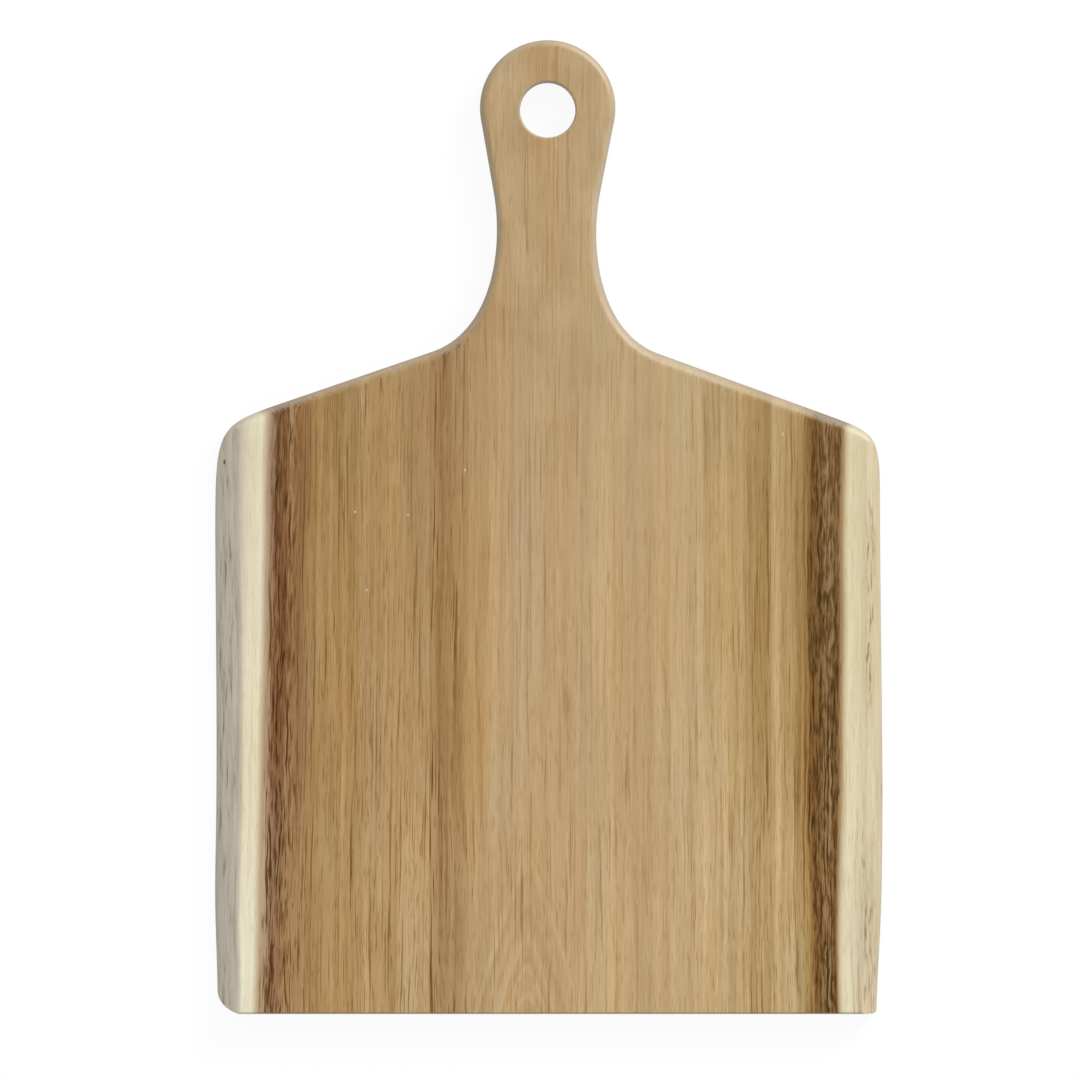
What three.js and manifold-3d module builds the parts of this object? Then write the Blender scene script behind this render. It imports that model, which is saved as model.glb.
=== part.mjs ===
// Live-edge paddle serving board: three hardwood staves glued edge to edge, sawn to a paddle
// outline with its edges rounded over, and drilled through the handle so that it can hang.
// Millimetres. The board lies on z = 0 with its serving face up and its handle towards +Y.
import * as THREE from 'three';
import { mergeVertices } from 'three/addons/utils/BufferGeometryUtils.js';
import Module from 'manifold-3d';

const wasm = await Module();
wasm.setup();

// Glued panel: widths across the grain, and thickness
const LEFT_STAVE_WIDTH = 97;
const CENTRE_STAVE_WIDTH = 153.5;
const RIGHT_STAVE_WIDTH = 50.5;
const GLUE_THICKNESS = 0.25;
const THICKNESS = 15;

// Body and handle along the grain. The shoulder lines meet on the handle's axis, where both end.
const BODY_LENGTH = 315.7;
const HANDLE_LENGTH = 122.7;

// Handle: a round head, a straight taper to the neck, and a curve that opens into the shoulders.
// Its axis starts a little left of the panel's middle and leans right by HANDLE_LEAN up to the head.
const HANDLE_OFFSET = -1.2;
const HANDLE_LEAN = 0.8;
const HEAD_RADIUS = 30.5;
const NECK_FROM_TIP = 68.4;
const NECK_WIDTH = 48;
const NECK_CURVE_REACH = 27.5;
const SHOULDER_START = 54;

// Hanging hole
const HOLE_DIAMETER = 25;
const HOLE_BELOW_HEAD_CENTRE = 0.9;
const HOLE_ARRIS = 1;

// Edge treatment: round-over on handle and shoulders, eased arris on the sawn end and the live edges,
// and a soft crest where a bark surface meets the top face
const SHOULDER_ROUND_OVER = 5.2;
const HANDLE_ROUND_OVER = 3.4;
const END_ARRIS = 1.2;
const LIVE_EDGE_ARRIS = 1;
const CREST_ROUND = 1.6;

// Each flank of the body. shoulderDrop is how far the shoulder line falls on its way to the side.
// edgeInsets says how far the bark line lies inside the panel's width, and waneRuns how far the bark
// surface leans in by the top face, both at even steps from the sawn end up to the shoulder corner.
// A corner's along and down are its tangent lengths; a pull of 1 makes it tight, 0 cuts it straight.
const LEFT_FLANK = {
  sign: -1,
  shoulderDrop: 51.2,
  edgeInsets: [1.3, 0.25, 0.75, 0.85, 0.6, 0.3],
  waneRuns: [10, 10.6, 11.5, 11.5, 11.2, 10.4],
  waneFoot: 1.8,
  waneBulge: 0.3,
  shoulderCorner: { along: 34, down: 49, pullAlong: 0.99, pullDown: 0.99 },
  endCorner: { along: 10, down: 10.5, pullAlong: 0, pullDown: 0.8 },
};
const RIGHT_FLANK = {
  sign: 1,
  shoulderDrop: 55.3,
  edgeInsets: [2.7, 0.65, 0, 0.25, 0.75, 1.1],
  waneRuns: [6.2, 5.6, 6.4, 5.8, 6.0, 5.4],
  waneFoot: 3,
  waneBulge: 0.55,
  shoulderCorner: { along: 25.7, down: 35, pullAlong: 0.99, pullDown: 0.99 },
  endCorner: { along: 2, down: 2, pullAlong: 0.6, pullDown: 0.6 },
};

// Facets
const HEAD_STEPS = 40;
const NECK_STEPS = 14;
const CORNER_STEPS = 12;
const END_CORNER_STEPS = 5;
const LIVE_EDGE_STEPS = 18;
const ROUND_STEPS = 5;
const WANE_STEPS = 7;
const CREST_STEPS = 4;
const HOLE_STEPS = 48;
const HOLE_ARRIS_DIVISIONS = 2;

// How far a cutter passes the surface that it cuts
const OVERCUT = 10;

// Points closer than this are one point
const SAME_POINT = 1e-5;

// Planes across the panel, from the left side to the right
const panelWidth = LEFT_STAVE_WIDTH + CENTRE_STAVE_WIDTH + RIGHT_STAVE_WIDTH + 2 * GLUE_THICKNESS;
const sideX = panelWidth / 2;
const leftJointX = LEFT_STAVE_WIDTH - sideX;
const rightJointX = sideX - RIGHT_STAVE_WIDTH;
const tipY = (BODY_LENGTH + HANDLE_LENGTH) / 2;
const apexY = tipY - HANDLE_LENGTH;
const endY = apexY - BODY_LENGTH;
const headY = tipY - HEAD_RADIUS;
const neckY = tipY - NECK_FROM_TIP;

const point = (x, y) => new THREE.Vector2(x, y);

// A smooth curve through evenly spaced values, read by its place from 0 to 1
function valuesAlong(values) {
  const curve = new THREE.SplineCurve(values.map((value, i) => point(i, value)));
  return (place) => curve.getPoint(THREE.MathUtils.clamp(place, 0, 1)).y;
}

// Curve that leaves one line and joins another, drawn towards the corner where they meet
function cornerCurve(start, corner, end, pullStart, pullEnd) {
  const startPull = start.clone().lerp(corner, pullStart);
  const endPull = end.clone().lerp(corner, pullEnd);
  return new THREE.CubicBezierCurve(start, startPull, endPull, end);
}

// Point where the line from a point outside the head's circle touches it, on the outer side
function headTangent(centre, from) {
  const reach = from.clone().sub(centre);
  const angle = reach.angle() + Math.acos(HEAD_RADIUS / reach.length());
  return centre.clone().add(point(HEAD_RADIUS, 0).rotateAround(point(0, 0), angle));
}

// Place of the handle's axis across the panel, from the shoulder lines' meeting point up to the head
function axisAt(y) {
  return HANDLE_OFFSET + HANDLE_LEAN * (y - apexY) / (headY - apexY);
}

// Lines and points of one flank, with x measured outwards from the middle of the panel
function flankLayout(flank) {
  const head = point(axisAt(headY) * flank.sign, headY);
  const neck = point(axisAt(neckY) * flank.sign + NECK_WIDTH / 2, neckY);
  const headTouch = headTangent(head, neck);
  const apex = point(axisAt(apexY) * flank.sign, apexY);
  const shoulder = point(sideX - apex.x, -flank.shoulderDrop).normalize();
  const insetAt = valuesAlong(flank.edgeInsets);
  const cornerX = sideX - insetAt(1);
  const corner = apex.clone().addScaledVector(shoulder, (cornerX - apex.x) / shoulder.x);
  const edgeTopY = corner.y - flank.shoulderCorner.down;
  const edgeFootY = endY + flank.endCorner.down;
  const edgeX = (y) => sideX - insetAt((y - edgeFootY) / (edgeTopY - edgeFootY));
  return { head, neck, headTouch, apex, shoulder, corner, edgeTopY, edgeFootY, edgeX };
}

// Outline of one flank from the sawn end up to the head, as stretches that each have an edge radius
function flankStretches(flank) {
  const { neck, headTouch, apex, shoulder, corner, edgeTopY, edgeFootY, edgeX } = flankLayout(flank);
  const { shoulderCorner, endCorner } = flank;
  const footX = edgeX(edgeFootY);
  const edgeTop = point(edgeX(edgeTopY), edgeTopY);
  const shoulderEnd = corner.clone().addScaledVector(shoulder, -shoulderCorner.along);
  const shoulderStart = apex.clone().addScaledVector(shoulder, SHOULDER_START);
  const taper = neck.clone().sub(headTouch).normalize();
  const neckPull = neck.clone().addScaledVector(taper, NECK_CURVE_REACH);
  const shoulderPull = shoulderStart.clone().addScaledVector(shoulder, -NECK_CURVE_REACH);
  const liveEdge = [];
  for (let i = 0; i <= LIVE_EDGE_STEPS; i += 1) {
    const y = THREE.MathUtils.lerp(edgeFootY, edgeTopY, i / LIVE_EDGE_STEPS);
    liveEdge.push(point(edgeX(y), y));
  }
  const endCurve = cornerCurve(
    point(footX - endCorner.along, endY), point(footX, endY), liveEdge[0],
    endCorner.pullAlong, endCorner.pullDown,
  );
  const shoulderCurve = cornerCurve(
    edgeTop, corner, shoulderEnd, shoulderCorner.pullDown, shoulderCorner.pullAlong,
  );
  const neckCurve = new THREE.CubicBezierCurve(shoulderStart, shoulderPull, neckPull, neck);
  return [
    { points: endCurve.getPoints(END_CORNER_STEPS), radii: [END_ARRIS, LIVE_EDGE_ARRIS] },
    { points: liveEdge, radii: [LIVE_EDGE_ARRIS, LIVE_EDGE_ARRIS] },
    { points: shoulderCurve.getPoints(CORNER_STEPS), radii: [LIVE_EDGE_ARRIS, SHOULDER_ROUND_OVER] },
    { points: neckCurve.getPoints(NECK_STEPS), radii: [SHOULDER_ROUND_OVER, HANDLE_ROUND_OVER] },
    { points: [headTouch], radii: [HANDLE_ROUND_OVER, HANDLE_ROUND_OVER] },
  ];
}

// Samples of one flank, each with its place in the board's own x and its edge radius
function flankSamples(flank) {
  const samples = [];
  for (const { points, radii } of flankStretches(flank)) {
    points.forEach((place, i) => {
      const radius = THREE.MathUtils.lerp(radii[0], radii[1], i / Math.max(points.length - 1, 1));
      const position = point(place.x * flank.sign, place.y);
      const last = samples.at(-1);
      if (!last || last.position.distanceTo(position) > SAME_POINT) {
        samples.push({ position, radius });
      }
    });
  }
  return samples;
}

// The whole outline, counter-clockwise from the right end of the sawn edge
function outlineSamples() {
  const right = flankSamples(RIGHT_FLANK);
  const left = flankSamples(LEFT_FLANK).reverse();
  const centre = flankLayout(RIGHT_FLANK).head;
  const startAngle = right.at(-1).position.clone().sub(centre).angle();
  const endAngle = left[0].position.clone().sub(centre).angle();
  const head = new THREE.EllipseCurve(
    centre.x, centre.y, HEAD_RADIUS, HEAD_RADIUS, startAngle, endAngle,
  );
  const arc = head.getPoints(HEAD_STEPS).slice(1, -1);
  return [...right, ...arc.map((position) => ({ position, radius: HANDLE_ROUND_OVER })), ...left];
}

// Inward step at a corner of the outline that moves both of its edges in by one unit
function inwardStep(before, here, after) {
  const normalIn = (from, to) => point(from.y - to.y, to.x - from.x).normalize();
  const first = normalIn(before, here);
  const second = normalIn(here, after);
  return first.clone().add(second).divideScalar(1 + first.dot(second));
}

// Closed skin through sections of equally many points, with flat caps at both ends
function loft(sections, flatten) {
  const ordered = THREE.ShapeUtils.area(sections[0].map(flatten)) < 0
    ? sections.map((section) => section.toReversed())
    : sections;
  const count = ordered[0].length;
  const index = [];
  for (let level = 0; level + 1 < ordered.length; level += 1) {
    for (let i = 0; i < count; i += 1) {
      const a = level * count + i;
      const b = level * count + (i + 1) % count;
      index.push(a, b, b + count, a, b + count, a + count);
    }
  }
  const lastStart = (ordered.length - 1) * count;
  for (const [a, b, c] of THREE.ShapeUtils.triangulateShape(ordered[0].map(flatten), [])) {
    index.push(c, b, a);
  }
  for (const [a, b, c] of THREE.ShapeUtils.triangulateShape(ordered.at(-1).map(flatten), [])) {
    index.push(lastStart + a, lastStart + b, lastStart + c);
  }
  const geometry = new THREE.BufferGeometry();
  const positions = ordered.flat().flatMap((place) => place.toArray());
  geometry.setAttribute('position', new THREE.Float32BufferAttribute(positions, 3));
  geometry.setIndex(index);
  return geometry;
}

function toSolid(geometry) {
  const bare = geometry.clone();
  bare.deleteAttribute('normal');
  bare.deleteAttribute('uv');
  const merged = mergeVertices(bare, SAME_POINT);
  return new wasm.Manifold(new wasm.Mesh({
    numProp: 3,
    vertProperties: new Float32Array(merged.attributes.position.array),
    triVerts: new Uint32Array(merged.index.array),
  }));
}

function toGeometry(solid) {
  const mesh = solid.getMesh();
  const geometry = new THREE.BufferGeometry();
  geometry.setAttribute('position', new THREE.Float32BufferAttribute(mesh.vertProperties, 3));
  geometry.setIndex(new THREE.Uint32BufferAttribute(mesh.triVerts, 1));
  const faceted = geometry.toNonIndexed();
  faceted.computeVertexNormals();
  return faceted;
}

// The sawn panel: the outline stacked in levels, drawn in by the edge radius at both faces
function panelSolid() {
  const samples = outlineSamples();
  const steps = samples.map(({ position }, i) => inwardStep(
    samples.at(i - 1).position, position, samples[(i + 1) % samples.length].position,
  ));
  const levels = [];
  for (let i = 0; i <= ROUND_STEPS; i += 1) {
    const turn = (Math.PI / 2) * (i / ROUND_STEPS);
    levels.push({ inset: 1 - Math.sin(turn), rise: 1 - Math.cos(turn) });
  }
  const level = ({ inset, rise }, upper) => samples.map(({ position, radius }, i) => {
    const place = position.clone().addScaledVector(steps[i], inset * radius);
    return new THREE.Vector3(place.x, place.y, upper ? THICKNESS - rise * radius : rise * radius);
  });
  const lower = levels.map((step) => level(step, false));
  const upper = levels.toReversed().map((step) => level(step, true));
  return toSolid(loft([...lower, ...upper], (place) => point(place.x, place.y)));
}

// Heights on a bark surface from below its foot up to the top face. Over the last CREST_ROUND of them
// the surface also eases inwards, so that it runs out level with the face.
function waneHeights(flank) {
  const heights = [];
  for (let k = 0; k <= WANE_STEPS; k += 1) {
    const z = THREE.MathUtils.lerp(flank.waneFoot / 2, THICKNESS - CREST_ROUND, k / WANE_STEPS);
    heights.push({ z, ease: 0 });
  }
  for (let k = 1; k <= CREST_STEPS; k += 1) {
    const turn = (Math.PI / 2) * (k / CREST_STEPS);
    const z = THICKNESS - CREST_ROUND * (1 - Math.sin(turn));
    heights.push({ z, ease: CREST_ROUND * (1 - Math.cos(turn)) });
  }
  return heights;
}

// What the log's round takes from a live edge: everything outside the leaning bark surface
function waneCutter(flank) {
  const { edgeX, edgeTopY, edgeFootY, corner } = flankLayout(flank);
  const runAt = valuesAlong(flank.waneRuns);
  const heights = waneHeights(flank);
  const outerX = sideX + OVERCUT;
  const lowY = endY - OVERCUT;
  const highY = corner.y + OVERCUT;
  const sections = [];
  for (let i = 0; i <= LIVE_EDGE_STEPS; i += 1) {
    const y = THREE.MathUtils.lerp(lowY, highY, i / LIVE_EDGE_STEPS);
    const run = runAt((y - edgeFootY) / (edgeTopY - edgeFootY));
    const section = heights.map(({ z, ease }) => {
      const share = (z - flank.waneFoot) / (THICKNESS - flank.waneFoot);
      const lean = run * share * (1 - flank.waneBulge * (1 - share)) + ease;
      return new THREE.Vector3((edgeX(y) - lean) * flank.sign, y, z);
    });
    section.push(new THREE.Vector3(section.at(-1).x, y, THICKNESS + OVERCUT));
    section.push(new THREE.Vector3(outerX * flank.sign, y, THICKNESS + OVERCUT));
    section.push(new THREE.Vector3(outerX * flank.sign, y, section[0].z));
    sections.push(section);
  }
  return toSolid(loft(sections, (place) => point(place.z, place.x)));
}

// The drilled hole with a rounded mouth at each face
function holeCutter() {
  const radius = HOLE_DIAMETER / 2;
  const profile = new THREE.Path();
  profile.moveTo(0, -OVERCUT);
  profile.lineTo(radius + HOLE_ARRIS, -OVERCUT);
  profile.lineTo(radius + HOLE_ARRIS, 0);
  profile.absarc(radius + HOLE_ARRIS, HOLE_ARRIS, HOLE_ARRIS, -Math.PI / 2, -Math.PI, true);
  profile.absarc(radius + HOLE_ARRIS, THICKNESS - HOLE_ARRIS, HOLE_ARRIS, Math.PI, Math.PI / 2, true);
  profile.lineTo(radius + HOLE_ARRIS, THICKNESS + OVERCUT);
  profile.lineTo(0, THICKNESS + OVERCUT);
  const geometry = new THREE.LatheGeometry(profile.getPoints(HOLE_ARRIS_DIVISIONS), HOLE_STEPS);
  geometry.rotateX(Math.PI / 2);
  geometry.translate(axisAt(headY), headY - HOLE_BELOW_HEAD_CENTRE, 0);
  return toSolid(geometry);
}

// Upright slice of space between two planes across the panel
function slice(fromX, toX) {
  const shape = new THREE.Shape([
    point(fromX, endY - OVERCUT),
    point(toX, endY - OVERCUT),
    point(toX, tipY + OVERCUT),
    point(fromX, tipY + OVERCUT),
  ]);
  const geometry = new THREE.ExtrudeGeometry(shape, {
    depth: THICKNESS + 2 * OVERCUT,
    bevelEnabled: false,
  });
  geometry.translate(0, 0, -OVERCUT);
  return toSolid(geometry);
}

const board = panelSolid()
  .subtract(waneCutter(LEFT_FLANK))
  .subtract(waneCutter(RIGHT_FLANK))
  .subtract(holeCutter());

const pieces = [
  { name: 'left_stave', from: -sideX - OVERCUT, to: leftJointX, color: 0xa67e57, roughness: 0.6 },
  {
    name: 'left_glue_line', from: leftJointX, to: leftJointX + GLUE_THICKNESS,
    color: 0x9a7850, roughness: 0.5,
  },
  {
    name: 'centre_stave', from: leftJointX + GLUE_THICKNESS, to: rightJointX - GLUE_THICKNESS,
    color: 0xbd9c70, roughness: 0.6,
  },
  {
    name: 'right_glue_line', from: rightJointX - GLUE_THICKNESS, to: rightJointX,
    color: 0x9a7850, roughness: 0.5,
  },
  { name: 'right_stave', from: rightJointX, to: sideX + OVERCUT, color: 0xb39566, roughness: 0.6 },
];

const servingBoard = new THREE.Group();
for (const { name, from, to, color, roughness } of pieces) {
  const material = new THREE.MeshStandardMaterial({ color, roughness, metalness: 0 });
  const mesh = new THREE.Mesh(toGeometry(board.intersect(slice(from, to))), material);
  mesh.name = name;
  servingBoard.add(mesh);
}

export default servingBoard;
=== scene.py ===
import math

import bmesh
import bpy
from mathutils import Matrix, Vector, noise
from mathutils.geometry import tessellate_polygon


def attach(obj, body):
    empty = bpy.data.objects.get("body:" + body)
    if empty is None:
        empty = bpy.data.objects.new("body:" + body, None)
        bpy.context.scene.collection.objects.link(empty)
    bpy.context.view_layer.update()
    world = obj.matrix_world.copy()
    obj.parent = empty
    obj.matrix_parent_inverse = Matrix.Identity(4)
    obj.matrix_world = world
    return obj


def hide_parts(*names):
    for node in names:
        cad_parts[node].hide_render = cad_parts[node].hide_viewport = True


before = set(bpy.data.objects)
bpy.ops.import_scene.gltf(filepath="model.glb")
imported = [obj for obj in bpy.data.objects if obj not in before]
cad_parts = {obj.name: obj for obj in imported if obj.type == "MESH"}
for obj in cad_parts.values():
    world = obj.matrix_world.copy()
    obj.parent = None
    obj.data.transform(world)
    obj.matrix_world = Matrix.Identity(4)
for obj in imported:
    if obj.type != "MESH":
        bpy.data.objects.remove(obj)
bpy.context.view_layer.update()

# Live-edge paddle serving board. Lengths are in millimetres until a mesh is written in metres.
MM = 0.001

# Glued panel
LEFT_STAVE_WIDTH = 97.0
CENTRE_STAVE_WIDTH = 153.5
RIGHT_STAVE_WIDTH = 50.5
GLUE_THICKNESS = 0.25
THICKNESS = 15.0
BODY_LENGTH = 315.7
HANDLE_LENGTH = 122.7

# Handle and hanging hole
HANDLE_OFFSET = -1.2
HANDLE_LEAN = 0.8
HEAD_RADIUS = 30.5
NECK_FROM_TIP = 68.4
NECK_WIDTH = 48.0
NECK_CURVE_REACH = 27.5
SHOULDER_START = 54.0
HOLE_DIAMETER = 25.0
HOLE_BELOW_HEAD_CENTRE = 0.9
HOLE_ARRIS = 1.0

# Edge treatment
SHOULDER_ROUND_OVER = 5.2
HANDLE_ROUND_OVER = 3.4
END_ARRIS = 1.2
LIVE_EDGE_ARRIS = 1.0
CREST_ROUND = 1.6
CUT_SOFTNESS = 0.4

# Each flank, with lists from the sawn end up: how far its shoulder line falls, how far its bark line
# lies inside the panel's width, how far its bark surface leans in, the height of that surface's foot
# and how far it bulges, and the tangent lengths and pulls of its corners
LEFT_FLANK = {
    "sign": -1, "shoulder_drop": 51.2,
    "edge_insets": (1.3, 0.25, 0.75, 0.85, 0.6, 0.3),
    "wane_runs": (10.0, 10.6, 11.5, 11.5, 11.2, 10.4),
    "wane_foot": 1.8, "wane_bulge": 0.3,
    "shoulder_corner": {"along": 34.0, "down": 49.0, "pull_along": 0.99, "pull_down": 0.99},
    "end_corner": {"along": 10.0, "down": 10.5, "pull_along": 0.0, "pull_down": 0.8},
}
RIGHT_FLANK = {
    "sign": 1, "shoulder_drop": 55.3,
    "edge_insets": (2.7, 0.65, 0.0, 0.25, 0.75, 1.1),
    "wane_runs": (6.2, 5.6, 6.4, 5.8, 6.0, 5.4),
    "wane_foot": 3.0, "wane_bulge": 0.55,
    "shoulder_corner": {"along": 25.7, "down": 35.0, "pull_along": 0.99, "pull_down": 0.99},
    "end_corner": {"along": 2.0, "down": 2.0, "pull_along": 0.6, "pull_down": 0.6},
}

# The bark surface is not quite even: rise and length of its waves
WANE_WAVE = 0.35
WANE_WAVE_LENGTH = 13.0
WANE_WAVE_HEIGHT = 6.0
# Each flank reads its waves at a place of its own
WANE_WAVE_SHIFT = 5.0
# Points further in than this many times the widest bark surface are left as they are
BARK_REACH = 4

# Mesh steps
HEAD_STEPS = 84
NECK_STEPS = 40
TAPER_STEPS = 8
SHOULDER_STEPS = 14
CORNER_STEPS = 44
END_CORNER_STEPS = 12
LIVE_EDGE_STEPS = 130
END_STEPS = 40
LOWER_ROUND_STEPS = 6
WALL_STEPS = 12
UPPER_ROUND_STEPS = 9
HOLE_STEPS = 96
HOLE_ARRIS_STEPS = 5
HOLE_WALL_STEPS = 5
SAME_POINT = 1e-4
SHARP_ANGLE = math.radians(40)
FLAT_WEIGHT = 100

panel_width = LEFT_STAVE_WIDTH + CENTRE_STAVE_WIDTH + RIGHT_STAVE_WIDTH + 2 * GLUE_THICKNESS
side_x = panel_width / 2
left_joint_x = LEFT_STAVE_WIDTH - side_x
right_joint_x = side_x - RIGHT_STAVE_WIDTH
tip_y = (BODY_LENGTH + HANDLE_LENGTH) / 2
apex_y = tip_y - HANDLE_LENGTH
end_y = apex_y - BODY_LENGTH
head_y = tip_y - HEAD_RADIUS
neck_y = tip_y - NECK_FROM_TIP


def lerp(a, b, share):
    return a + (b - a) * share


def values_along(values, place):
    """A smooth curve through evenly spaced values, read by its place from 0 to 1."""
    position = min(max(place, 0.0), 1.0) * (len(values) - 1)
    at = min(int(position), len(values) - 2)
    t = position - at
    before, first, second, after = (
        values[min(max(at + step, 0), len(values) - 1)] for step in (-1, 0, 1, 2))
    slope_first = (second - before) / 2
    slope_second = (after - first) / 2
    cubic = 2 * first - 2 * second + slope_first + slope_second
    square = -3 * first + 3 * second - 2 * slope_first - slope_second
    return cubic * t ** 3 + square * t ** 2 + slope_first * t + first


def bezier(points, steps):
    a, b, c, d = points
    curve = []
    for i in range(steps + 1):
        t = i / steps
        s = 1 - t
        curve.append(a * s ** 3 + b * (3 * s * s * t) + c * (3 * s * t * t) + d * t ** 3)
    return curve


def straight(start, end, steps):
    return [start.lerp(end, i / steps) for i in range(steps + 1)]


def axis_at(y):
    """Place of the handle's axis across the panel."""
    return HANDLE_OFFSET + HANDLE_LEAN * (y - apex_y) / (head_y - apex_y)


def flank_layout(flank):
    """Lines and points of one flank, with x measured outwards from the middle of the panel."""
    sign = flank["sign"]
    head = Vector((axis_at(head_y) * sign, head_y))
    neck = Vector((axis_at(neck_y) * sign + NECK_WIDTH / 2, neck_y))
    reach = neck - head
    touch_angle = math.atan2(reach.y, reach.x) + math.acos(HEAD_RADIUS / reach.length)
    head_touch = head + HEAD_RADIUS * Vector((math.cos(touch_angle), math.sin(touch_angle)))
    apex = Vector((axis_at(apex_y) * sign, apex_y))
    shoulder = Vector((side_x - apex.x, -flank["shoulder_drop"])).normalized()
    corner_x = side_x - values_along(flank["edge_insets"], 1)
    corner = apex + shoulder * ((corner_x - apex.x) / shoulder.x)
    edge_top_y = corner.y - flank["shoulder_corner"]["down"]
    edge_foot_y = end_y + flank["end_corner"]["down"]
    return head, neck, head_touch, apex, shoulder, corner, edge_top_y, edge_foot_y


def edge_x(flank, y):
    *_, edge_top_y, edge_foot_y = flank_layout(flank)
    place = (y - edge_foot_y) / (edge_top_y - edge_foot_y)
    return side_x - values_along(flank["edge_insets"], place)


def flank_samples(flank):
    """Outline of one flank from the sawn end up to the head: places with an edge radius each."""
    _, neck, head_touch, apex, shoulder, corner, edge_top_y, edge_foot_y = flank_layout(flank)
    top, end = flank["shoulder_corner"], flank["end_corner"]
    live_edge = []
    for i in range(LIVE_EDGE_STEPS + 1):
        y = lerp(edge_foot_y, edge_top_y, i / LIVE_EDGE_STEPS)
        live_edge.append(Vector((edge_x(flank, y), y)))
    foot, edge_top = live_edge[0], live_edge[-1]
    end_start = Vector((foot.x - end["along"], end_y))
    end_corner = Vector((foot.x, end_y))
    shoulder_end = corner - shoulder * top["along"]
    shoulder_start = apex + shoulder * SHOULDER_START
    taper = (neck - head_touch).normalized()
    end_curve = bezier((
        end_start, end_start.lerp(end_corner, end["pull_along"]),
        foot.lerp(end_corner, end["pull_down"]), foot), END_CORNER_STEPS)
    shoulder_curve = bezier((
        edge_top, edge_top.lerp(corner, top["pull_down"]),
        shoulder_end.lerp(corner, top["pull_along"]), shoulder_end), CORNER_STEPS)
    neck_curve = bezier((
        shoulder_start, shoulder_start - shoulder * NECK_CURVE_REACH,
        neck + taper * NECK_CURVE_REACH, neck), NECK_STEPS)
    stretches = (
        (end_curve, END_ARRIS, LIVE_EDGE_ARRIS),
        (live_edge, LIVE_EDGE_ARRIS, LIVE_EDGE_ARRIS),
        (shoulder_curve, LIVE_EDGE_ARRIS, SHOULDER_ROUND_OVER),
        (straight(shoulder_end, shoulder_start, SHOULDER_STEPS),
         SHOULDER_ROUND_OVER, SHOULDER_ROUND_OVER),
        (neck_curve, SHOULDER_ROUND_OVER, HANDLE_ROUND_OVER),
        (straight(neck, head_touch, TAPER_STEPS), HANDLE_ROUND_OVER, HANDLE_ROUND_OVER),
    )
    samples = []
    for points, first_radius, last_radius in stretches:
        for i, place in enumerate(points):
            here = Vector((place.x * flank["sign"], place.y))
            if not samples or (samples[-1][0] - here).length > SAME_POINT:
                samples.append((here, lerp(first_radius, last_radius, i / (len(points) - 1))))
    return samples


def outline_samples():
    """The whole outline, counter-clockwise from the right end of the sawn edge."""
    right = flank_samples(RIGHT_FLANK)
    left = flank_samples(LEFT_FLANK)[::-1]
    centre = flank_layout(RIGHT_FLANK)[0]
    start, finish = right[-1][0] - centre, left[0][0] - centre
    start_angle = math.atan2(start.y, start.x)
    end_angle = math.atan2(finish.y, finish.x) % (2 * math.pi)
    head = []
    for i in range(1, HEAD_STEPS):
        angle = lerp(start_angle, end_angle, i / HEAD_STEPS)
        around = Vector((math.cos(angle), math.sin(angle)))
        head.append((centre + HEAD_RADIUS * around, HANDLE_ROUND_OVER))
    sawn_end = straight(left[-1][0], right[0][0], END_STEPS)[1:-1]
    return right + head + left + [(place, END_ARRIS) for place in sawn_end]


def inward_steps(ring):
    """At each corner of a ring, the step that moves both of its edges in by one unit."""

    def normal_in(start, finish):
        return Vector((start.y - finish.y, finish.x - start.x)).normalized()

    steps = []
    for i, here in enumerate(ring):
        first = normal_in(ring[i - 1], here)
        second = normal_in(here, ring[(i + 1) % len(ring)])
        steps.append((first + second) / (1 + first.dot(second)))
    return steps


def bark_x(flank, y, z):
    """How far out the bark surface lies at one height, with its crest rounded into the top face."""
    *_, edge_top_y, edge_foot_y = flank_layout(flank)
    place = (y - edge_foot_y) / (edge_top_y - edge_foot_y)
    run = values_along(flank["wane_runs"], place)
    share = (z - flank["wane_foot"]) / (THICKNESS - flank["wane_foot"])
    lean = run * share * (1 - flank["wane_bulge"] * (1 - share))
    wave_place = Vector((
        y / WANE_WAVE_LENGTH, z / WANE_WAVE_HEIGHT, flank["sign"] * WANE_WAVE_SHIFT))
    lean += WANE_WAVE * noise.noise(wave_place) * min(max(share, 0.0), 1.0)
    crest = min(max((z - THICKNESS + CREST_ROUND) / CREST_ROUND, 0.0), 1.0)
    lean += CREST_ROUND * (1 - math.sqrt(1 - crest * crest))
    return edge_x(flank, y) + CUT_SOFTNESS / 2 - lean


def trim_to_bark(place):
    """Moves a point in to the bark surface where it lies outside; also says how far it moved."""
    flank = LEFT_FLANK if place.x < 0 else RIGHT_FLANK
    out = abs(place.x)
    if out < side_x - BARK_REACH * max(flank["wane_runs"]):
        return place, 0.0
    limit = bark_x(flank, place.y, place.z)
    trimmed = (out + limit - math.hypot(out - limit, CUT_SOFTNESS)) / 2
    return Vector((trimmed * flank["sign"], place.y, place.z)), out - trimmed


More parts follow.
